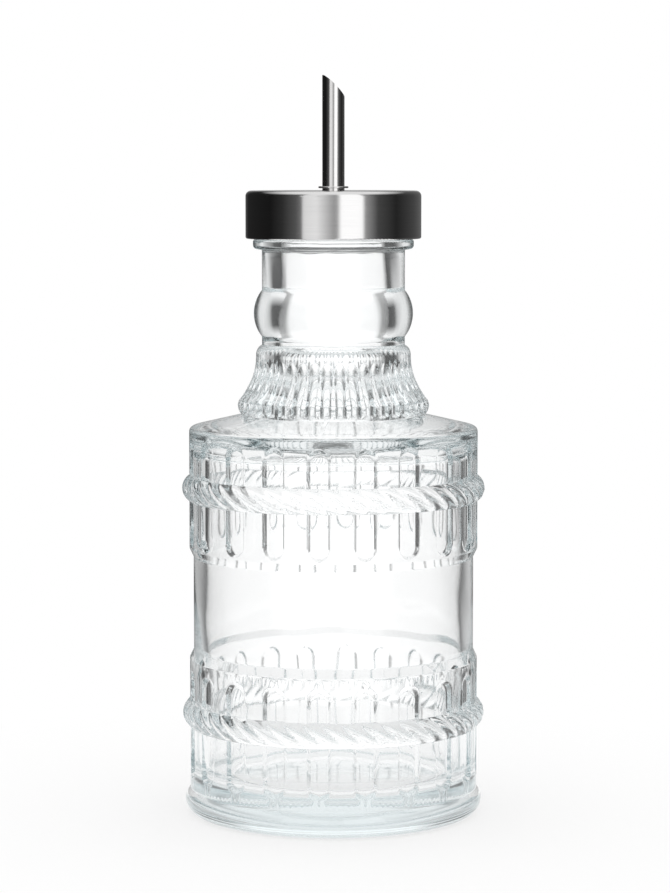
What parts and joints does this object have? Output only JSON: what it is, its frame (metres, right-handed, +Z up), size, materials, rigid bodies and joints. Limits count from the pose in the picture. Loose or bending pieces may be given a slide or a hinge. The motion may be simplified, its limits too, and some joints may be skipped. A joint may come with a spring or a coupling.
{
  "type": "oil bottle",
  "caption": "Clear pressed-glass oil bottle with fluted bands, twisted rope rings and a ribbed skirt, closed by a steel cap with a slant-cut pour tube.",
  "frame": {"origin": "centre of the surface the bottle stands on, under the foot's bearing ring", "axes": "+Z up along the bottle's axis; -Y is the front, and the low side of the tube's slant cut points between +X and +Y"},
  "size_m": [0.082, 0.082, 0.2],
  "materials": {
    "clear_glass": "fire-polished, clear with a faint blue-green tint",
    "cap_steel": "brushed round the cap",
    "seal_rubber": "smooth, pale",
    "tube_steel": "polished"
  },
  "bodies": {
    "root": {"bottle_glass": "clear_glass", "steel_cap": "cap_steel", "cap_seal": "seal_rubber", "pour_tube": "tube_steel"}
  },
  "joints": []
}
